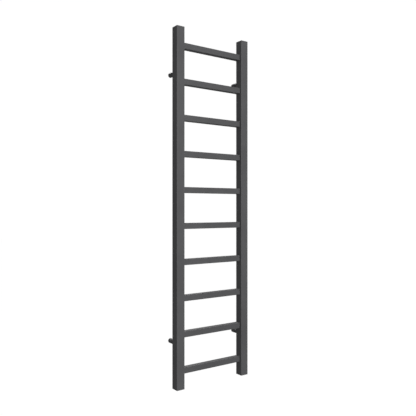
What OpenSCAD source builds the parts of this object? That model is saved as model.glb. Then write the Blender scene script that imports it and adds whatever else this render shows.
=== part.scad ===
// Wall-hung towel warmer rack: two square posts, square rungs, four telescopic wall brackets.
// X runs along the wall, +Y points into the wall and +Z up.
// The origin lies on the wall's face, midway between the four bracket pegs.

/* [Frame] */
// Overall height of the posts
height = 1200; // [800:10:1800]
// Overall width across both posts
width = 300; // [240:5:600]
// Side of the square post tube
post_side = 30; // [28:1:40]
// Wall thickness of the post tube
post_wall = 1.5; // [1.2:0.1:2]
// Outer corner radius of the post and rung tubes
corner_r = 1.5; // [1:0.1:3]

/* [Rungs] */
// Number of rungs
rung_count = 10; // [4:1:14]
// Side of the square rung tube
rung_side = 20; // [18:1:22]
// Wall thickness of the rung tube
rung_wall = 1.5; // [1:0.1:2]
// Distance from each end of the posts to the nearest rung
end_margin = 48; // [30:1:80]
// How much lower the top rung is than an even ladder
top_rung_drop = 1; // [0:0.5:5]
// Diameter of the water passage between a post and a rung
flow_d = 14; // [8:0.5:15]

/* [Wall brackets] */
// Distance from each end of the posts to the bracket centres
bracket_inset = 150; // [100:5:300]
// Distance from the wall to the back of the posts
standoff = 38; // [36:1:60]
// Outside diameter of the sleeves and of the peg flanges
sleeve_d = 16; // [15:0.5:20]
// Diameter of the peg that slides in the sleeve
peg_d = 9.5; // [9:0.1:10]
// Radial running clearance between the peg and the sleeve
peg_gap = 0.05; // [0.03:0.01:0.1]
// Thickness of the peg's wall flange
flange_t = 3; // [2:0.5:4]
// Gap between the sleeve and the flange when pushed fully home
home_gap = 1; // [0.5:0.5:3]
// Length of the peg in front of its flange
peg_length = 24; // [20:1:24]
// Depth of the tapped hole for the wall stud
peg_tap_depth = 18; // [12:1:20]

/* [Pipe ends] */
// Height of the solid block that closes each end of a post
block_h = 14; // [12:1:20]
// Crest diameter of the half inch pipe thread
pipe_thread_d = 18.6; // [18.6:0.1:19]
// Depth of the pipe thread
pipe_thread_depth = 11; // [9:0.5:11]
// Diameter of the water passage behind the thread
waterway_d = 15; // [10:0.5:16]

/* [Hidden] */
// Facets of round shapes and of hexagons
ROUND_SIDES = 64;
HEX_SIDES = 6;
$fn = ROUND_SIDES;
// How far a cut runs past the face that it opens
RIM = 1;

// Places of the main parts
post_x = (width - post_side) / 2;
post_y = -standoff - post_side / 2;
inner_x = width / 2 - post_side;
rung_y = -standoff - rung_side / 2;
tube_half_z = height / 2 - block_h;
rung_pitch = (height - 2 * end_margin - rung_side) / (rung_count - 1);
bracket_z = height / 2 - bracket_inset;
inner_corner_r = 0.3;
chamfer = 0.4;
// Gap round a boss or a plug in its hole
fit_gap = 0.05;

// Sleeve, its screw and its weld boss
bore_r = peg_d / 2 + peg_gap;
sleeve_floor = 4;
sleeve_wall_end = -flange_t - home_gap;
boss_r = 7;
boss_length = 12;
boss_tap_depth = 9;
screw_r = 2.05;
screw_hole_r = 2.75;
screw_tap_r = 2.1;
screw_length = 12;
screw_head_r = 4.25;
screw_head_h = 5;
screw_hex = 4;
screw_hex_depth = 2.5;

// Peg and grub screw
stud_tap_r = 2.5;
peg_hex = 4;
peg_hex_depth = 4.5;
grub_r = 1.95;
grub_hole_r = 2;
grub_y = -11;
grub_length = 3;
grub_recess = 0.1;
grub_hex = 2;
grub_hex_depth = 1.5;

// Plugs of the two top ends
plug_r = pipe_thread_d / 2 - fit_gap;
plug_recess = 0.5;
seal_section_r = 0.9;
seal_gap = 0.15;
seal_ring_r = plug_r - seal_section_r - seal_gap;
plug_low_z = height / 2 - pipe_thread_depth + 2 * seal_section_r;
plug_top_z = height / 2 - plug_recess;
plug_hex = 10;
plug_hex_depth = 5;

// Air vent in the right-hand top plug
vent_recess_hex = 12;
vent_recess_depth = 4;
vent_recess_z = plug_top_z - vent_recess_depth;
vent_screw_r = 2.95;
vent_thread_r = 3;
vent_seat_wall = 1.2;
vent_seat_z = plug_low_z + vent_seat_wall;
vent_orifice_r = 1.5;
vent_cone_gap = 0.15;
vent_square = 5;
vent_square_h = 3.6;
vent_lift = 0.3;
weep_r = 0.6;

SIDES = ["left", "right"];
ENDS = ["upper", "lower"];
RUNG_NAMES = [for (i = [1:rung_count]) str("rung_", i < 10 ? "0" : "", i)];

COATING = "#5b5c5e";
STEEL = "#a4a6aa";
BRASS = "#b99a58";
RUBBER = "#232323";

function side_x(side) = side == "left" ? -post_x : post_x;
function end_z(end) = end == "upper" ? bracket_z : -bracket_z;
function rung_z(i) = height / 2 - end_margin - rung_side / 2 - (i - 1) * rung_pitch
    - (i == 1 ? top_rung_drop : 0);
function hex_r(across_flats) = across_flats / 2 / cos(30);

// Square with rounded corners, made of straight sides and true arcs
module rounded_square(side, r) {
    square([side, side - 2 * r], center = true);
    square([side - 2 * r, side], center = true);
    for (x = [-1, 1], y = [-1, 1])
        translate([x * (side / 2 - r), y * (side / 2 - r)]) circle(r);
}

module tube_section(side, wall) {
    difference() {
        rounded_square(side, corner_r);
        rounded_square(side - 2 * wall, inner_corner_r);
    }
}

// Cylinder along Y from y1 to y2
module y_rod(r, y1, y2, sides = ROUND_SIDES) {
    translate([0, y2, 0]) rotate([90, 0, 0]) cylinder(r = r, h = y2 - y1, $fn = sides);
}

// The same, with a chamfer c at each end
module y_chamfered_rod(r, y1, y2, c) {
    y_rod(r, y1 + c, y2 - c);
    translate([0, y1 + c, 0]) rotate([90, 0, 0]) cylinder(r1 = r, r2 = r - c, h = c);
    translate([0, y2, 0]) rotate([90, 0, 0]) cylinder(r1 = r - c, r2 = r, h = c);
}

// Post: a tube with a flow hole for each rung and a hole for each bracket boss
module post(side) {
    inward = side == "left" ? 1 : -1;
    wall_x = side_x(side) + inward * (post_side - post_wall) / 2;
    color(COATING) difference() {
        translate([side_x(side), post_y, -tube_half_z])
            linear_extrude(2 * tube_half_z) tube_section(post_side, post_wall);
        for (i = [1:rung_count])
            translate([wall_x, rung_y, rung_z(i)])
                rotate([0, 90, 0]) cylinder(d = flow_d, h = post_wall + 2 * RIM, center = true);
        for (e = ENDS)
            translate([side_x(side), 0, end_z(e)])
                y_rod(boss_r + fit_gap, -standoff - post_wall - RIM, -standoff + RIM);
    }
}

// Rung: an open tube butted between the posts
module rung(i) {
    color(COATING) translate([0, rung_y, rung_z(i)]) rotate([0, 90, 0])
        linear_extrude(2 * inner_x, center = true) tube_section(rung_side, rung_wall);
}

// Block that closes a post's end, with a half inch pipe thread opening outwards
module end_block(side, up) {
    color(COATING) translate([side_x(side), post_y, 0]) mirror([0, 0, up ? 0 : 1]) difference() {
        translate([0, 0, tube_half_z]) linear_extrude(block_h) rounded_square(post_side, corner_r);
        translate([0, 0, height / 2 - pipe_thread_depth])
            cylinder(d = pipe_thread_d, h = pipe_thread_depth + RIM);
        translate([0, 0, tube_half_z - RIM]) cylinder(d = waterway_d, h = block_h);
    }
}

// Tapped boss welded into the post's back wall
module boss(end, side) {
    color(STEEL) translate([side_x(side), 0, end_z(end)]) difference() {
        y_rod(boss_r, -standoff - boss_length, -standoff);
        y_rod(screw_tap_r, -standoff - boss_tap_depth, -standoff + RIM);
    }
}

// Bracket sleeve screwed to the boss, open towards the wall
module sleeve(end, side) {
    color(COATING) translate([side_x(side), 0, end_z(end)]) difference() {
        y_chamfered_rod(sleeve_d / 2, -standoff, sleeve_wall_end, chamfer);
        y_rod(screw_hole_r, -standoff - RIM, -standoff + sleeve_floor + RIM);
        y_rod(bore_r, -standoff + sleeve_floor, sleeve_wall_end + RIM);
        translate([0, grub_y, -sleeve_d / 2 - RIM]) cylinder(r = grub_hole_r, h = sleeve_d / 2);
    }
}

// Peg that stays on the wall: flange, spindle, tapped back and a hexagon socket in its tip
module wall_peg(end, side) {
    tip_y = -flange_t - peg_length;
    color(STEEL) translate([side_x(side), 0, end_z(end)]) difference() {
        union() {
            y_chamfered_rod(sleeve_d / 2, -flange_t, 0, chamfer);
            y_chamfered_rod(peg_d / 2, tip_y, -flange_t / 2, chamfer);
        }
        y_rod(stud_tap_r, -peg_tap_depth, RIM);
        y_rod(hex_r(peg_hex), tip_y - RIM, tip_y + peg_hex_depth, HEX_SIDES);
    }
}

// Cap screws that hold the four sleeves to their bosses
module sleeve_screws() {
    head_y = -standoff + sleeve_floor;
    color(STEEL) for (e = ENDS, s = SIDES) translate([side_x(s), 0, end_z(e)]) difference() {
        union() {
            y_chamfered_rod(screw_head_r, head_y, head_y + screw_head_h, chamfer);
            y_rod(screw_r, head_y - screw_length, head_y + RIM);
        }
        y_rod(hex_r(screw_hex), head_y + screw_head_h - screw_hex_depth,
            head_y + screw_head_h + RIM, HEX_SIDES);
    }
}

// Grub screws that lock the sleeves on the pegs, from below
module grub_screws() {
    outer_z = -sleeve_d / 2 + grub_recess;
    color(STEEL) for (e = ENDS, s = SIDES)
        translate([side_x(s), grub_y, end_z(e) + outer_z]) difference() {
            cylinder(r = grub_r, h = grub_length);
            translate([0, 0, -RIM])
                cylinder(r = hex_r(grub_hex), h = grub_hex_depth + RIM, $fn = HEX_SIDES);
        }
}

module top_seal(side) {
    color(RUBBER) translate([side_x(side), post_y, height / 2 - pipe_thread_depth + seal_section_r])
        rotate_extrude() translate([seal_ring_r, 0]) circle(seal_section_r);
}

module blanking_plug() {
    color(BRASS) translate([side_x("left"), post_y, 0]) difference() {
        translate([0, 0, plug_low_z]) cylinder(r = plug_r, h = plug_top_z - plug_low_z);
        translate([0, 0, plug_top_z - plug_hex_depth])
            cylinder(r = hex_r(plug_hex), h = plug_hex_depth + RIM, $fn = HEX_SIDES);
    }
}

// Plug with the vent's seat, thread, weep groove and hexagon recess
module air_vent_plug() {
    color(BRASS) translate([side_x("right"), post_y, 0]) difference() {
        translate([0, 0, plug_low_z]) cylinder(r = plug_r, h = plug_top_z - plug_low_z);
        translate([0, 0, vent_recess_z])
            cylinder(r = hex_r(vent_recess_hex), h = plug_top_z, $fn = HEX_SIDES);
        translate([0, 0, vent_seat_z])
            cylinder(r = vent_thread_r, h = vent_recess_z - vent_seat_z + RIM);
        translate([vent_thread_r, 0, vent_seat_z])
            cylinder(r = weep_r, h = vent_recess_z - vent_seat_z + RIM);
        translate([0, 0, plug_low_z - RIM]) cylinder(r = vent_orifice_r, h = vent_seat_z);
    }
}

// Square-headed screw whose cone closes the vent
module bleed_screw() {
    shank_z = vent_seat_z + vent_lift;
    head_z = vent_recess_z + vent_lift;
    color(BRASS) translate([side_x("right"), post_y, 0]) {
        translate([0, 0, shank_z]) cylinder(r = vent_screw_r, h = head_z - shank_z);
        translate([0, 0, shank_z - RIM])
            cylinder(r1 = vent_orifice_r / 2, r2 = vent_orifice_r - vent_cone_gap, h = RIM);
        translate([-vent_square / 2, -vent_square / 2, head_z])
            cube([vent_square, vent_square, vent_square_h - vent_lift]);
    }
}

post("left");  // left_post
post("right");  // right_post
for (i = [1:rung_count]) {
    rung(i);
}
end_block("left", true);  // top_left_block
end_block("right", true);  // top_right_block
end_block("left", false);  // bottom_left_block
end_block("right", false);  // bottom_right_block
for (e = ENDS, s = SIDES) {
    boss(e, s);
    sleeve(e, s);
    wall_peg(e, s);
}
sleeve_screws();
grub_screws();
air_vent_plug();
top_seal("right");  // air_vent_seal
bleed_screw();
blanking_plug();
top_seal("left");  // blanking_seal
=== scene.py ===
"""Looks of the wall-hung towel warmer rack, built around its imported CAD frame."""
import math

import bmesh
import bpy
from mathutils import Matrix, Vector


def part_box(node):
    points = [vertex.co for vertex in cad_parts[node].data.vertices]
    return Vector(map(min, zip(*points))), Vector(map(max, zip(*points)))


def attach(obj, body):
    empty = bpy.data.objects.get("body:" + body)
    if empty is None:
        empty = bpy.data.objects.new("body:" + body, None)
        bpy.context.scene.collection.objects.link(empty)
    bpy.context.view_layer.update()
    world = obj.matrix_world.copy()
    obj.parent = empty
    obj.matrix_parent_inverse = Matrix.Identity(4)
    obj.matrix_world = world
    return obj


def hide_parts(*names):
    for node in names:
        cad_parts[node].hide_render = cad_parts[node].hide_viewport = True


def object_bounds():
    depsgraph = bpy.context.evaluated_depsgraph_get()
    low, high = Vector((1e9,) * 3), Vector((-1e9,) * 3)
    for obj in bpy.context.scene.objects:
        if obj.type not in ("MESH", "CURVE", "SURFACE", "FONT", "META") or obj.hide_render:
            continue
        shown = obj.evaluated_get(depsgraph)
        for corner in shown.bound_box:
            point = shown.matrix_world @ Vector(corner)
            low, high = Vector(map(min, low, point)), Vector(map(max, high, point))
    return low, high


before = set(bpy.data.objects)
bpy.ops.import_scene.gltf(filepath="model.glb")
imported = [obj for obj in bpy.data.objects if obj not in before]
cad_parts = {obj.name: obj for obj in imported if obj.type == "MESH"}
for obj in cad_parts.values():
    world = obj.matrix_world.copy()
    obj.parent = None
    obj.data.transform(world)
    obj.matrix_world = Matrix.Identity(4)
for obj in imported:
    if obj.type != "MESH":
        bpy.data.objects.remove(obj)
cad_lo, cad_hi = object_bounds()
centre = (cad_lo + cad_hi) / 2

MM = 0.001
RACK = "rack"
WALL_PEGS = "wall_pegs"
RUNGS = sorted(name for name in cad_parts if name.startswith("rung_"))
SIDES = ("left", "right")
ENDS = ("upper", "lower")

# Largest angles, in degrees, between faces that are shaded as one smooth surface
SHARP_ANGLE = 35
BLOCK_SHARP_ANGLE = 40
WELD_SHARP_ANGLE = 60

# Facets of round shapes, and how far a cut runs past the face that it opens
ROUND_STEPS = 72
ROD_STEPS = 40
HEX_SIDES = 6
CUT_PAST = 1 * MM

# Tube sections, as in the CAD model
CORNER_R = 1.5 * MM
INNER_CORNER_R = 0.3 * MM
WALL = 1.5 * MM
CORNER_STEPS = 8
TUBE_STEP = 60 * MM

# Holes in the posts for the water and the bracket bosses
FLOW_HOLE_R = 7 * MM
BOSS_HOLE_R = 7.05 * MM
HOLE_REACH = 2.5 * MM

# Half inch pipe thread and waterway in the end blocks
PIPE_CREST_R = 9.3 * MM
PIPE_THREAD_PITCH = 1.814 * MM
PIPE_THREAD_DEPTH = 1.12 * MM
PIPE_THREAD_LENGTH = 11 * MM
PIPE_MOUTH_GAP = 0.25 * MM
WATERWAY_R = 7.5 * MM
THREAD_STEPS = 8
BLOCK_EDGE = 0.7 * MM
BLOCK_EDGE_STEPS = 6
BLOCK_FLAT_STEPS = 4

# Wall brackets: the peg with its M6 tapped back, and the sleeve
TURNED_EDGE = 0.4 * MM
EDGE_STEPS = 6
FLANGE_T = 3 * MM
SPIGOT_R = 4.75 * MM
STUD_R = 2.5 * MM
STUD_DEPTH = 0.5 * MM
STUD_PITCH = 1 * MM
STUD_TAP = 18 * MM
LEAD_IN = 0.6 * MM
PEG_HEX_R = 4 / math.sqrt(3) * MM
PEG_HEX_DEPTH = 4.5 * MM
SLEEVE_BORE_R = 4.8 * MM
SLEEVE_FLOOR = 4 * MM
SLEEVE_HOLE_R = 2.75 * MM
GRUB_FROM_MOUTH = 7 * MM
GRUB_HOLE_R = 2 * MM

# Weld fillets where the rungs meet the posts; the shares are of the fillet's leg
WELD_LEG = 1.7 * MM
WELD_STEPS = 6
WELD_FLAT_STEPS = 56
WELD_RIPPLES = 52
WELD_RIPPLE_SHARE = 0.09
WELD_SLOW_SHARE = 0.06
WELD_SLOW_WAVES = 11
WELD_QUICK_SHARE = 0.04
WELD_QUICK_WAVES = 23
WELD_BACK_LOSS = 0.97
WELD_BACK_FADE = 0.7
WELD_TUCK = 0.97
# Turns of phase in radians per metre, so that no two welds are alike
WELD_SLOW_PHASE = 40
WELD_QUICK_PHASE = 900

# Weld beads at the backs of the rungs; their waves are in radians per metre
BEAD_HALF_W = 1.75 * MM
BEAD_CROWN = 0.38 * MM
BEAD_PITCH = 1.5 * MM
BEAD_PAST_RUNG = 0.5 * MM
BEAD_TAPER = 1.6 * MM
BEAD_TIP_SHARE = 0.02
BEAD_RIPPLE_SHARE = 0.28
BEAD_UNEVEN_SHARE = 0.08
BEAD_UNEVEN_WAVES = 900
BEAD_WIDTH_SHARE = 0.05
BEAD_WIDTH_WAVES = 1300
BEAD_WIDTH_PHASE = 700
BEAD_ROUNDNESS = 0.8
BEAD_SUNK = 0.03 * MM
BEAD_ROOT = 1.2 * MM
BEAD_ROOT_SHARE = 0.7
BEAD_STEPS = 100
BEAD_STEPS_ACROSS = 12


# ---------------------------------------------------------------- mesh helpers

def shade(piece, sharp_angle):
    """Marks the piece's sharp edges and keeps its flats flat."""
    piece.data.set_sharp_from_angle(angle=math.radians(sharp_angle))
    weighted = piece.modifiers.new("weighted_normals", "WEIGHTED_NORMAL")
    weighted.keep_sharp = True


def new_piece(name, bm, sharp_angle=SHARP_ANGLE):
    """An object from a bmesh, smooth apart from its sharp edges."""
    bmesh.ops.recalc_face_normals(bm, faces=bm.faces)
    mesh = bpy.data.meshes.new(name)
    bm.to_mesh(mesh)
    bm.free()
    mesh.shade_smooth()
    piece = bpy.data.objects.new(name, mesh)
    bpy.context.scene.collection.objects.link(piece)
    shade(piece, sharp_angle)
    return piece


def rounded_square(side, radius, steps=CORNER_STEPS, flat_steps=1):
    """Points (a, b) of a square with rounded corners, anticlockwise from the middle right."""
    points = []
    inner = side / 2 - radius
    for quarter in range(4):
        turn = quarter * math.pi / 2
        ca, sa = math.cos(turn), math.sin(turn)
        flat = [(side / 2, inner * (2 * i / flat_steps - 1)) for i in range(1, flat_steps)]
        arc = [(inner + radius * math.cos(t), inner + radius * math.sin(t))
               for t in (math.pi / 2 * i / steps for i in range(steps + 1))]
        points += [(a * ca - b * sa, a * sa + b * ca) for a, b in flat + arc]
    return points


def circle(radius, count=ROUND_STEPS):
    """Points (a, b) of a circle, anticlockwise."""
    turns = [2 * math.pi * i / count for i in range(count)]
    return [(radius * math.cos(turn), radius * math.sin(turn)) for turn in turns]


def add_loop(bm, points, place):
    """Vertices of a closed loop; place turns (a, b) into a point in the frame."""
    return [bm.verts.new(place(a, b)) for a, b in points]


def join_loops(bm, one, two):
    """Quads between two loops of the same length."""
    count = len(one)
    return [bm.faces.new((one[i], one[(i + 1) % count], two[(i + 1) % count], two[i]))
            for i in range(count)]


def join_flat(bm, outer, inner):
    """Fills the flat ring between two loops of different lengths."""
    edges = []
    for loop in (outer, inner):
        count = len(loop)
        for i in range(count):
            pair = (loop[i], loop[(i + 1) % count])
            edges.append(bm.edges.get(pair) or bm.edges.new(pair))
    bmesh.ops.triangle_fill(bm, use_beauty=True, edges=edges)


def rod(bm, start, end, radius, count=ROD_STEPS):
    """A closed rod between two points, for cutting."""
    axis = end - start
    turn = Vector((0, 0, 1)).rotation_difference(axis)
    middle = Matrix.Translation((start + end) / 2) @ turn.to_matrix().to_4x4()
    bmesh.ops.create_cone(bm, cap_ends=True, segments=count, radius1=radius, radius2=radius,
                          depth=axis.length, matrix=middle)


def cut(piece, cutters):
    """Cuts every closed body in the bmesh cutters out of a piece."""
    mesh = bpy.data.meshes.new("cutter")
    cutters.to_mesh(mesh)
    cutters.free()
    tool = bpy.data.objects.new("cutter", mesh)
    bpy.context.scene.collection.objects.link(tool)
    boolean = piece.modifiers.new("cut", "BOOLEAN")
    boolean.operation = "DIFFERENCE"
    boolean.solver = "EXACT"
    boolean.object = tool
    piece.modifiers.move(len(piece.modifiers) - 1, 0)
    bpy.context.view_layer.update()
    evaluated = piece.evaluated_get(bpy.context.evaluated_depsgraph_get())
    piece_mesh = bpy.data.meshes.new_from_object(evaluated)
    piece.modifiers.clear()
    piece.data = piece_mesh
    piece_mesh.name = piece.name
    shade(piece, SHARP_ANGLE)
    bpy.data.objects.remove(tool)


def ride_as(piece, node, *materials, body=RACK):
    """The piece takes the place of a CAD node: it gets the given materials and rides on the body, and
    the node is hidden.
    """
    for material in materials:
        piece.data.materials.append(material)
    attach(piece, body)
    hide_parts(node)


# ---------------------------------------------------------------- materials

class Nodes:
    """A material's node tree, with short calls for the nodes used here."""

    def __init__(self, name):
        self.material = bpy.data.materials.new(name)
        self.material.use_nodes = True
        self.tree = self.material.node_tree
        self.shader = self.tree.nodes["Principled BSDF"]
        self.place = self.add("ShaderNodeTexCoord").outputs["Object"]

    def add(self, kind, **settings):
        node = self.tree.nodes.new(kind)
        for key, value in settings.items():
            setattr(node, key, value)
        return node

    def link(self, source, target):
        self.tree.links.new(source, target)

    def noise(self, scale, detail=2.0, roughness=0.5, place=None):
        """Noise between 0 and 1; scale is in features per metre."""
        node = self.add("ShaderNodeTexNoise")
        node.inputs["Scale"].default_value = scale
        node.inputs["Detail"].default_value = detail
        node.inputs["Roughness"].default_value = roughness
        self.link(place or self.place, node.inputs["Vector"])
        return node.outputs["Fac"]

    def ramp(self, value, low, high, start=0.3, end=0.7):
        """Maps the stretch of value from start to end to numbers from low to high."""
        node = self.add("ShaderNodeMapRange")
        node.inputs["From Min"].default_value = start
        node.inputs["From Max"].default_value = end
        node.inputs["To Min"].default_value = low
        node.inputs["To Max"].default_value = high
        self.link(value, node.inputs["Value"])
        return node.outputs["Result"]

    def mix(self, factor, one, two):
        """Mixes two colours; each is a colour or a socket."""
        node = self.add("ShaderNodeMix", data_type="RGBA")
        self.link(factor, node.inputs[0])
        for value, socket in ((one, node.inputs[6]), (two, node.inputs[7])):
            if isinstance(value, tuple):
                socket.default_value = (*value, 1.0)
            else:
                self.link(value, socket)
        return node.outputs[2]

    def bump(self, height, distance, under=None):
        """Relief of the given depth in metres, on top of the normal under it."""
        node = self.add("ShaderNodeBump")
        node.inputs["Distance"].default_value = distance
        self.link(height, node.inputs["Height"])
        if under is not None:
            self.link(under, node.inputs["Normal"])
        return node.outputs["Normal"]

    def set(self, **values):
        """Sets or links the shader's inputs, named in lower case with underscores."""
        for name, value in values.items():
            socket = self.shader.inputs[name.replace("_", " ").title()]
            if isinstance(value, bpy.types.NodeSocket):
                self.link(value, socket)
            else:
                socket.default_value = value

    def set_specular(self, level):
        self.shader.inputs["Specular IOR Level"].default_value = level


def powder_coat(name):
    """Satin grey powder coat: orange peel, a fine grain, soft cloudy tone, and rounded corners painted
    lighter as a painted highlight that also stands for rubbed coat.
    """
    n = Nodes(name)
    cloud = n.ramp(n.noise(scale=9, detail=3), 0, 1, start=0.35, end=0.65)
    speck = n.ramp(n.noise(scale=2600, detail=1), 0, 1, start=0.35, end=0.65)
    plain = n.mix(cloud, (0.0905, 0.0905, 0.0945), (0.0985, 0.0985, 0.1025))
    specked = n.mix(cloud, (0.0875, 0.0875, 0.0915), (0.1010, 0.1010, 0.1055))
    tone = n.mix(speck, plain, specked)
    # Painted highlight: pointiness makes the rounded corners a little lighter, partly for light caught
    # on them and partly for coat rubbed there.
    edge = n.add("ShaderNodeNewGeometry").outputs["Pointiness"]
    corner_highlight_and_rub = n.ramp(edge, 0, 0.35, start=0.52, end=0.60)
    tone = n.mix(corner_highlight_and_rub, tone, (0.110, 0.110, 0.115))
    peel = n.bump(n.noise(scale=430, detail=2, roughness=0.45), 0.1 * MM)
    grain = n.bump(n.noise(scale=1900, detail=1), 0.03 * MM, under=peel)
    wave = n.bump(n.noise(scale=14, detail=1), 0.6 * MM, under=grain)
    satin = n.ramp(n.noise(scale=35, detail=3), 0.44, 0.54)
    n.set(base_color=tone, roughness=satin, normal=wave)
    n.set_specular(0.45)
    return n.material


def turned_metal(name, colours, roughness, axis_at):
    """Turned metal: fine rings round the part's own upright axis, with tarnish in soft patches."""
    ring_pitch = 0.35 * MM
    ring_depth = 0.004 * MM
    n = Nodes(name)
    shift = n.add("ShaderNodeVectorMath", operation="SUBTRACT")
    n.link(n.place, shift.inputs[0])
    shift.inputs[1].default_value = axis_at
    flat = n.add("ShaderNodeVectorMath", operation="MULTIPLY")
    n.link(shift.outputs[0], flat.inputs[0])
    flat.inputs[1].default_value = (1, 1, 0)
    length = n.add("ShaderNodeVectorMath", operation="LENGTH")
    n.link(flat.outputs[0], length.inputs[0])
    turns = n.add("ShaderNodeMath", operation="MULTIPLY")
    n.link(length.outputs["Value"], turns.inputs[0])
    turns.inputs[1].default_value = 2 * math.pi / ring_pitch
    wave = n.add("ShaderNodeMath", operation="SINE")
    n.link(turns.outputs[0], wave.inputs[0])
    rings = n.bump(wave.outputs[0], ring_depth)
    patches = n.noise(scale=260, detail=4, roughness=0.6)
    n.set(base_color=n.mix(n.ramp(patches, 0, 1), *colours), metallic=1.0,
          roughness=n.ramp(patches, roughness - 0.06, roughness + 0.1),
          normal=n.bump(n.noise(scale=1400, detail=2), 0.006 * MM, under=rings))
    return n.material


def plated_steel(name, colours, roughness):
    """Plain machined or plated steel with scratches along one way and soft stains."""
    n = Nodes(name)
    stretched = n.add("ShaderNodeMapping")
    n.link(n.place, stretched.inputs["Vector"])
    stretched.inputs["Scale"].default_value = (1, 9, 1)
    scratches = n.noise(scale=900, detail=3, roughness=0.6, place=stretched.outputs["Vector"])
    stains = n.noise(scale=180, detail=3)
    n.set(base_color=n.mix(n.ramp(stains, 0, 1), *colours), metallic=1.0,
          roughness=n.ramp(scratches, roughness - 0.08, roughness + 0.08),
          normal=n.bump(scratches, 0.01 * MM))
    return n.material


def nitrile(name):
    """Black rubber with a dusty bloom."""
    n = Nodes(name)
    dust = n.ramp(n.noise(scale=500, detail=3), 0, 1)
    n.set(base_color=n.mix(dust, (0.012, 0.012, 0.012), (0.026, 0.026, 0.025)),
          roughness=n.ramp(n.noise(scale=900, detail=2), 0.6, 0.75),
          normal=n.bump(n.noise(scale=3000, detail=2), 0.01 * MM))
    return n.material


NICKEL_COLOURS = ((0.63, 0.61, 0.57), (0.50, 0.48, 0.45))
BRASS_COLOURS = ((0.70, 0.54, 0.28), (0.52, 0.38, 0.18))
COAT = powder_coat("anthracite_powder_coat")
STEEL = plated_steel("bare_steel", ((0.46, 0.46, 0.47), (0.34, 0.33, 0.33)), 0.42)
ZINC = plated_steel("zinc_plated_steel", ((0.60, 0.61, 0.63), (0.50, 0.51, 0.54)), 0.34)
RUBBER = nitrile("nitrile_rubber")


# ---------------------------------------------------------------- posts and rungs

def tube(name, node, along):
    """A hollow tube with rounded corners that fills the node's box. along is its long axis."""
    lo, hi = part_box(node)
    mid = (lo + hi) / 2
    across = [i for i in range(3) if i != along]
    side = hi[across[0]] - lo[across[0]]
    steps = max(1, round((hi[along] - lo[along]) / TUBE_STEP))
    bm = bmesh.new()
    ends = []
    for section in (rounded_square(side, CORNER_R), rounded_square(side - 2 * WALL, INNER_CORNER_R)):
        loops = []
        for i in range(steps + 1):
            at = lo[along] + (hi[along] - lo[along]) * i / steps

            def place(a, b):
                point = [mid.x, mid.y, mid.z]
                point[across[0]] += a
                point[across[1]] += b
                point[along] = at
                return point
            loops.append(add_loop(bm, section, place))
        for one, two in zip(loops, loops[1:]):
            join_loops(bm, one, two)
        ends.append((loops[0], loops[-1]))
    for outer, inner in zip(*ends):
        join_loops(bm, outer, inner)
    return new_piece(name, bm)


def build_posts():
    """Posts, with a flow hole for each rung and a hole in the back wall for each boss."""
    for side, inward in zip(SIDES, (1, -1)):
        node = f"{side}_post"
        post = tube(f"{side}_post_tube", node, 2)
        lo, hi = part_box(node)
        mid = (lo + hi) / 2
        holes = bmesh.new()
        face = hi.x if inward > 0 else lo.x
        for rung in RUNGS:
            rung_lo, rung_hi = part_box(rung)
            at = (rung_lo + rung_hi) / 2
            rod(holes, Vector((face - HOLE_REACH, at.y, at.z)),
                Vector((face + HOLE_REACH, at.y, at.z)), FLOW_HOLE_R)
        for end in ENDS:
            boss_lo, boss_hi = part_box(f"{end}_{side}_boss")
            z = (boss_lo.z + boss_hi.z) / 2
            rod(holes, Vector((mid.x, hi.y - HOLE_REACH, z)),
                Vector((mid.x, hi.y + HOLE_REACH, z)), BOSS_HOLE_R)
        cut(post, holes)
        ride_as(post, node, COAT)


def build_rungs():
    for node in RUNGS:
        ride_as(tube(f"{node}_tube", node, 0), node, COAT)


def weld_fillet(bm, side, mid, face, inward):
    """A rippled fillet round one end of a rung.

    It follows the post's round corner and dies out at the back, where the bead takes over.
    """
    section = rounded_square(side, CORNER_R, CORNER_STEPS, WELD_FLAT_STEPS)
    slow_phase = WELD_SLOW_PHASE * mid.z
    quick_phase = WELD_QUICK_PHASE * face
    loops = []
    count = len(section)
    for step in range(WELD_STEPS + 1):
        sweep = math.pi / 2 * step / WELD_STEPS
        loop = []
        for i, (a, b) in enumerate(section):
            before, after = section[i - 1], section[(i + 1) % count]
            out = Vector((after[1] - before[1], before[0] - after[0])).normalized()
            turn = 2 * math.pi * i / count
            slow = WELD_SLOW_SHARE * math.sin(WELD_SLOW_WAVES * turn + slow_phase)
            quick = WELD_QUICK_SHARE * math.sin(WELD_QUICK_WAVES * turn + quick_phase)
            ripple = WELD_RIPPLE_SHARE * math.sin(2 * sweep) * abs(math.sin(WELD_RIPPLES / 2 * turn))
            leg = WELD_LEG * (1 + slow + quick - ripple)
            at_back = max(0.0, out.x)
            along = leg * (1 - math.sin(sweep))
            rise = leg * (1 - WELD_BACK_LOSS * at_back ** WELD_BACK_FADE) * (1 - math.cos(sweep))
            short = min(CORNER_R, max(0.0, a + out.x * rise - side / 2 + CORNER_R))
            sunk = (CORNER_R - math.sqrt(CORNER_R ** 2 - short ** 2)) * math.sin(sweep) ** 2
            loop.append(bm.verts.new((face + inward * (along - sunk), mid.y + a + out.x * rise,
                                      mid.z + b + out.y * rise)))
        loops.append(loop)
    tucked = [(a * WELD_TUCK, b * WELD_TUCK) for a, b in section]
    loops.append(add_loop(bm, tucked, lambda a, b: (face, mid.y + a, mid.z + b)))
    for one, two in zip(loops, loops[1:] + loops[:1]):
        join_loops(bm, one, two)


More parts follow.
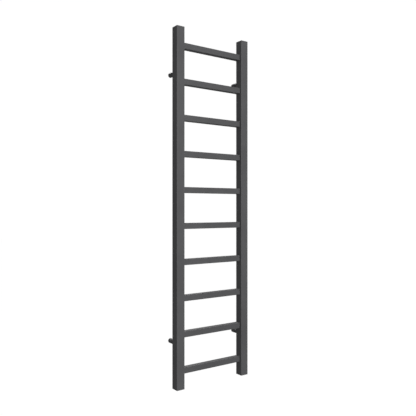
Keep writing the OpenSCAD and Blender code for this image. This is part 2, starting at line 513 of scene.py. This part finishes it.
def weld_bead(bm, lo, hi, face, inward):
    """A low crowned bead up the back, over the groove between the rung and the post's corner."""
    middle = (lo.z + hi.z) / 2
    half = (hi.z - lo.z) / 2 + BEAD_PAST_RUNG
    width_phase = BEAD_WIDTH_PHASE * face
    loops = []
    for step in range(BEAD_STEPS + 1):
        z = middle + half * (2 * step / BEAD_STEPS - 1)
        past = max(0.0, abs(z - middle) - (half - BEAD_TAPER)) / BEAD_TAPER
        full = math.sqrt(max(BEAD_TIP_SHARE, 1 - past * past))
        ripple = BEAD_RIPPLE_SHARE * (abs(math.sin(math.pi * z / BEAD_PITCH)) - 1)
        uneven = BEAD_UNEVEN_SHARE * math.sin(BEAD_UNEVEN_WAVES * z)
        narrow = BEAD_WIDTH_SHARE * (math.sin(BEAD_WIDTH_WAVES * z + width_phase) - 1)
        crown = BEAD_CROWN * full * (1 + ripple + uneven)
        width = BEAD_HALF_W * full * (1 + narrow)
        loop = []
        for i in range(BEAD_STEPS_ACROSS + 1):
            across = 2 * i / BEAD_STEPS_ACROSS - 1
            rise = crown * (1 - across * across) ** BEAD_ROUNDNESS - BEAD_SUNK
            loop.append(bm.verts.new((face + inward * width * across, hi.y + rise, z)))
        for across in (BEAD_ROOT_SHARE, -BEAD_ROOT_SHARE):
            loop.append(bm.verts.new((face + inward * width * across, hi.y - BEAD_ROOT * full, z)))
        loops.append(loop)
    for one, two in zip(loops, loops[1:]):
        join_loops(bm, one, two)
    bm.faces.new(loops[0])
    bm.faces.new(loops[-1])


def build_welds():
    """Welds under the coating at both ends of each rung: a fillet on three sides, a bead behind."""
    for node in RUNGS:
        lo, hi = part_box(node)
        mid = (lo + hi) / 2
        bm = bmesh.new()
        for face, inward in ((lo.x, 1), (hi.x, -1)):
            weld_fillet(bm, hi.y - lo.y, mid, face, inward)
            weld_bead(bm, lo, hi, face, inward)
        piece = new_piece(f"{node}_welds", bm, WELD_SHARP_ANGLE)
        piece.data.materials.append(COAT)
        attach(piece, RACK)


# ---------------------------------------------------------------- pipe ends

def line_bore(bm, loops):
    """Joins the loops of a tapped bore.

    Its walls take the piece's second material, because the coat is masked off there.
    """
    for one, two in zip(loops, loops[1:]):
        for face in join_loops(bm, one, two):
            face.material_index = 1


def pipe_thread_radius(down, turn, way):
    """Radius of the pipe thread at a depth and a turn from 0 to 1, with a faded start.

    The wave is stretched and clipped, so that the thread's crests and roots are flat.
    """
    wave = 0.5 + 0.5 * math.cos(2 * math.pi * (down / PIPE_THREAD_PITCH - way * turn))
    crest = min(1.0, max(0.0, 1.25 * wave - 0.12))
    fade_in = min(1.0, down / PIPE_THREAD_PITCH)
    return PIPE_CREST_R + PIPE_THREAD_DEPTH * (1 - crest * fade_in)


def build_block(node, up):
    """End block: rounded outer edge and a real half inch thread cut inside."""
    lo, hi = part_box(node)
    mid = (lo + hi) / 2
    side = hi.x - lo.x
    tip, foot = (hi.z, lo.z) if up else (lo.z, hi.z)
    way = 1 if up else -1

    def at(z):
        return lambda a, b: (mid.x + a, mid.y + b, z)

    bm = bmesh.new()
    square = rounded_square(side, CORNER_R, CORNER_STEPS, BLOCK_FLAT_STEPS)
    outer = [add_loop(bm, square, at(foot))]
    for step in range(BLOCK_EDGE_STEPS + 1):
        sweep = math.pi / 2 * step / BLOCK_EDGE_STEPS
        inset = BLOCK_EDGE * (1 - math.cos(sweep))
        square = rounded_square(side - 2 * inset, CORNER_R - inset, CORNER_STEPS, BLOCK_FLAT_STEPS)
        outer.append(add_loop(bm, square, at(tip - way * BLOCK_EDGE * (1 - math.sin(sweep)))))
    for one, two in zip(outer, outer[1:]):
        join_loops(bm, one, two)
    mouth = add_loop(bm, circle(PIPE_CREST_R + PIPE_THREAD_DEPTH + PIPE_MOUTH_GAP), at(tip))
    join_flat(bm, outer[-1], mouth)
    bore = [mouth]
    rings = int(PIPE_THREAD_LENGTH / PIPE_THREAD_PITCH * THREAD_STEPS)
    for ring in range(1, rings + 1):
        down = PIPE_THREAD_LENGTH * ring / rings
        place = at(tip - way * down)
        loop = []
        for i in range(ROUND_STEPS):
            turn = i / ROUND_STEPS
            radius = pipe_thread_radius(down, turn, way)
            loop.append(bm.verts.new(place(radius * math.cos(2 * math.pi * turn),
                                           radius * math.sin(2 * math.pi * turn))))
        bore.append(loop)
    for down in (PIPE_THREAD_LENGTH, abs(tip - foot)):
        bore.append(add_loop(bm, circle(WATERWAY_R), at(tip - way * down)))
    line_bore(bm, bore)
    join_flat(bm, outer[0], bore[-1])
    ride_as(new_piece(f"{node}_turned", bm, BLOCK_SHARP_ANGLE), node, COAT, STEEL)


# ---------------------------------------------------------------- wall brackets

def round_edge(radius, y, way):
    """Profile from an end face at y round its edge to the side; way is 1 where the face looks to +Y."""
    turns = [math.pi / 2 * i / EDGE_STEPS for i in range(EDGE_STEPS + 1)]
    return [(radius - TURNED_EDGE * (1 - math.sin(t)), y - way * TURNED_EDGE * (1 - math.cos(t)))
            for t in turns]


def turn_profile(bm, profile, mid):
    """Loops round the bracket's axis for a profile of (radius, y) points."""
    loops = [add_loop(bm, circle(radius), lambda a, b, y=y: (mid.x + a, y, mid.z + b))
             for radius, y in profile]
    for one, two in zip(loops, loops[1:]):
        join_loops(bm, one, two)
    return loops


def stud_bore(bm, mid, mouth_y):
    """Loops of the peg's M6 tapped hole, from its mouth to the drill's tip."""
    mouth = circle(STUD_R + STUD_DEPTH + LEAD_IN)
    bore = [add_loop(bm, mouth, lambda a, b: (mid.x + a, mouth_y, mid.z + b))]
    steps = int(STUD_TAP / STUD_PITCH * THREAD_STEPS)
    for step in range(steps + 1):
        down = LEAD_IN + (STUD_TAP - LEAD_IN) * step / steps
        fade_in = min(1.0, (down - LEAD_IN) / STUD_PITCH)
        loop = []
        for i in range(ROUND_STEPS):
            turn = 2 * math.pi * i / ROUND_STEPS
            crest = fade_in * (0.5 + 0.5 * math.cos(2 * math.pi * down / STUD_PITCH + turn))
            radius = STUD_R + STUD_DEPTH * (1 - crest)
            loop.append(bm.verts.new((mid.x + radius * math.cos(turn), mouth_y - down,
                                      mid.z + radius * math.sin(turn))))
        bore.append(loop)
    tip_y = mouth_y - STUD_TAP - STUD_R / 2
    bore.append(add_loop(bm, circle(STUD_R / 5), lambda a, b: (mid.x + a, tip_y, mid.z + b)))
    return bore


def build_peg(node):
    """Wall peg: a flange on the wall, a spigot in the sleeve, a tapped back and a hexagon in its tip."""
    lo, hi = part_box(node)
    mid = (lo + hi) / 2
    flange_r = (hi.x - lo.x) / 2
    flange_y = hi.y - FLANGE_T
    bm = bmesh.new()
    outer = turn_profile(bm, [
        *round_edge(flange_r, hi.y, 1),
        *reversed(round_edge(flange_r, flange_y, -1)),
        (SPIGOT_R + TURNED_EDGE, flange_y),
        (SPIGOT_R, flange_y - TURNED_EDGE),
        *reversed(round_edge(SPIGOT_R, lo.y, -1)),
    ], mid)
    bore = stud_bore(bm, mid, hi.y)
    line_bore(bm, bore)
    bm.faces.new(bore[-1])
    join_loops(bm, outer[0], bore[0])
    bm.faces.new(outer[-1])
    peg = new_piece(f"{node}_turned", bm)
    hexagon = bmesh.new()
    rod(hexagon, Vector((mid.x, lo.y - CUT_PAST, mid.z)),
        Vector((mid.x, lo.y + PEG_HEX_DEPTH, mid.z)), PEG_HEX_R, HEX_SIDES)
    cut(peg, hexagon)
    ride_as(peg, node, COAT, STEEL, body=WALL_PEGS)


def build_sleeve(node):
    """Sleeve: open to the wall, with a floor for its screw and a hole below for the grub screw."""
    lo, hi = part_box(node)
    mid = (lo + hi) / 2
    sleeve_r = (hi.x - lo.x) / 2
    bm = bmesh.new()
    loops = turn_profile(bm, [
        *round_edge(sleeve_r, lo.y, -1),
        *reversed(round_edge(sleeve_r, hi.y, 1)),
        (SLEEVE_BORE_R + TURNED_EDGE / 2, hi.y),
        (SLEEVE_BORE_R, hi.y - TURNED_EDGE / 2),
        (SLEEVE_BORE_R, lo.y + SLEEVE_FLOOR),
        (SLEEVE_HOLE_R, lo.y + SLEEVE_FLOOR),
        (SLEEVE_HOLE_R, lo.y),
    ], mid)
    join_loops(bm, loops[-1], loops[0])
    sleeve = new_piece(f"{node}_turned", bm)
    hole = bmesh.new()
    at = hi.y - GRUB_FROM_MOUTH
    rod(hole, Vector((mid.x, at, lo.z - CUT_PAST)), Vector((mid.x, at, mid.z)), GRUB_HOLE_R)
    cut(sleeve, hole)
    ride_as(sleeve, node, COAT)


# ---------------------------------------------------------------- CAD nodes that stay

def paint_cad_nodes():
    """Better materials for the CAD nodes that stay."""
    vent_lo, vent_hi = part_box("air_vent_plug")
    plug_lo, plug_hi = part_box("blanking_plug")
    vent_axis = (vent_lo + vent_hi) / 2
    plug_axis = (plug_lo + plug_hi) / 2
    looks = {
        "air_vent_plug": turned_metal("vent_nickel", NICKEL_COLOURS, 0.26, vent_axis),
        "blanking_plug": turned_metal("plug_nickel", NICKEL_COLOURS, 0.26, plug_axis),
        "bleed_screw": turned_metal("bleed_brass", BRASS_COLOURS, 0.3, vent_axis),
        "air_vent_seal": RUBBER,
        "blanking_seal": RUBBER,
        "sleeve_screws": ZINC,
        "grub_screws": ZINC,
    }
    for end in ENDS:
        for side in SIDES:
            looks[f"{end}_{side}_boss"] = STEEL
    for node, material in looks.items():
        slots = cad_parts[node].data.materials
        slots.clear()
        slots.append(material)


# ---------------------------------------------------------------- stage

FLOOR_DROP = 1.4
FLOOR_REACH = 30.0
FLOOR_GLOW = 1.0
AMBIENT = 0.185
BACKDROP = 1.01
LIGHTS = {
    # name: (place, width, height, watts)
    "key": ((-0.75, -6.5, 1.0), 3.6, 3.6, 292),
    "left": ((-2.4, -0.3, 0.5), 1.0, 1.4, 3),
    "top": ((0.1, -0.6, 6.0), 3.0, 3.0, 70),
    "right": ((4.2, -0.3, 0.6), 1.6, 3.0, 60),
    "back": ((1.2, 3.9, 4.0), 2.4, 2.4, 170),
}


def build_floor():
    """Plain pale floor well below the rack. Its glow makes it one white with the backdrop."""
    bm = bmesh.new()
    corners = [(-FLOOR_REACH, -FLOOR_REACH), (FLOOR_REACH, -FLOOR_REACH),
               (FLOOR_REACH, FLOOR_REACH), (-FLOOR_REACH, FLOOR_REACH)]
    bm.faces.new([bm.verts.new((x, y, cad_lo.z - FLOOR_DROP)) for x, y in corners])
    mesh = bpy.data.meshes.new("floor")
    bm.to_mesh(mesh)
    bm.free()
    floor = bpy.data.objects.new("floor", mesh)
    bpy.context.scene.collection.objects.link(floor)
    n = Nodes("pale_floor")
    n.set(base_color=n.mix(n.noise(scale=3), (0.025, 0.025, 0.025), (0.03, 0.03, 0.03)),
          roughness=0.9, emission_color=(1, 1, 1, 1), emission_strength=FLOOR_GLOW)
    n.set_specular(0.0)
    mesh.materials.append(n.material)
    floor.visible_diffuse = False
    floor.visible_glossy = False


def build_world():
    """A white backdrop for the camera, and a softer even light on the rack."""
    world = bpy.data.worlds.new("studio")
    world.use_nodes = True
    tree = world.node_tree
    ambient = tree.nodes["Background"]
    ambient.inputs["Color"].default_value = (1, 1, 1, 1)
    ambient.inputs["Strength"].default_value = AMBIENT
    white = tree.nodes.new("ShaderNodeBackground")
    white.inputs["Color"].default_value = (1, 1, 1, 1)
    white.inputs["Strength"].default_value = BACKDROP
    seen = tree.nodes.new("ShaderNodeLightPath")
    pick = tree.nodes.new("ShaderNodeMixShader")
    tree.links.new(seen.outputs["Is Camera Ray"], pick.inputs[0])
    tree.links.new(ambient.outputs[0], pick.inputs[1])
    tree.links.new(white.outputs[0], pick.inputs[2])
    tree.links.new(pick.outputs[0], tree.nodes["World Output"].inputs["Surface"])
    bpy.context.scene.world = world
    bpy.context.scene.view_settings.view_transform = "Standard"


def build_lights():
    """Soft rectangular lamps, all aimed at the middle of the rack."""
    for name, (place, width, height, watts) in LIGHTS.items():
        light = bpy.data.lights.new(name, "AREA")
        light.shape = "RECTANGLE"
        light.size = width
        light.size_y = height
        light.energy = watts
        lamp = bpy.data.objects.new(name, light)
        lamp.location = place
        lamp.rotation_euler = (centre - Vector(place)).to_track_quat("-Z", "Y").to_euler()
        bpy.context.scene.collection.objects.link(lamp)


def build_camera():
    """Level camera to the left of the rack, aimed just beside its middle."""
    azimuth = math.radians(-35.3)
    distance = 1.8175
    aside = -1.2 * MM
    data = bpy.data.cameras.new("camera")
    data.lens = 45.0
    data.sensor_width = 36.0
    camera = bpy.data.objects.new("camera", data)
    back = Vector((math.sin(azimuth), -math.cos(azimuth), 0))
    across = Vector((math.cos(azimuth), math.sin(azimuth), 0))
    camera.location = centre + back * distance + across * aside
    camera.rotation_euler = (math.pi / 2, 0, azimuth)
    bpy.context.scene.collection.objects.link(camera)
    bpy.context.scene.camera = camera


# ---------------------------------------------------------------- the rack

build_camera()
build_posts()
build_rungs()
build_welds()
for side in SIDES:
    build_block(f"top_{side}_block", True)
    build_block(f"bottom_{side}_block", False)
for end in ENDS:
    for side in SIDES:
        build_peg(f"{end}_{side}_wall_peg")
        build_sleeve(f"{end}_{side}_sleeve")
paint_cad_nodes()
build_floor()
build_world()
build_lights()
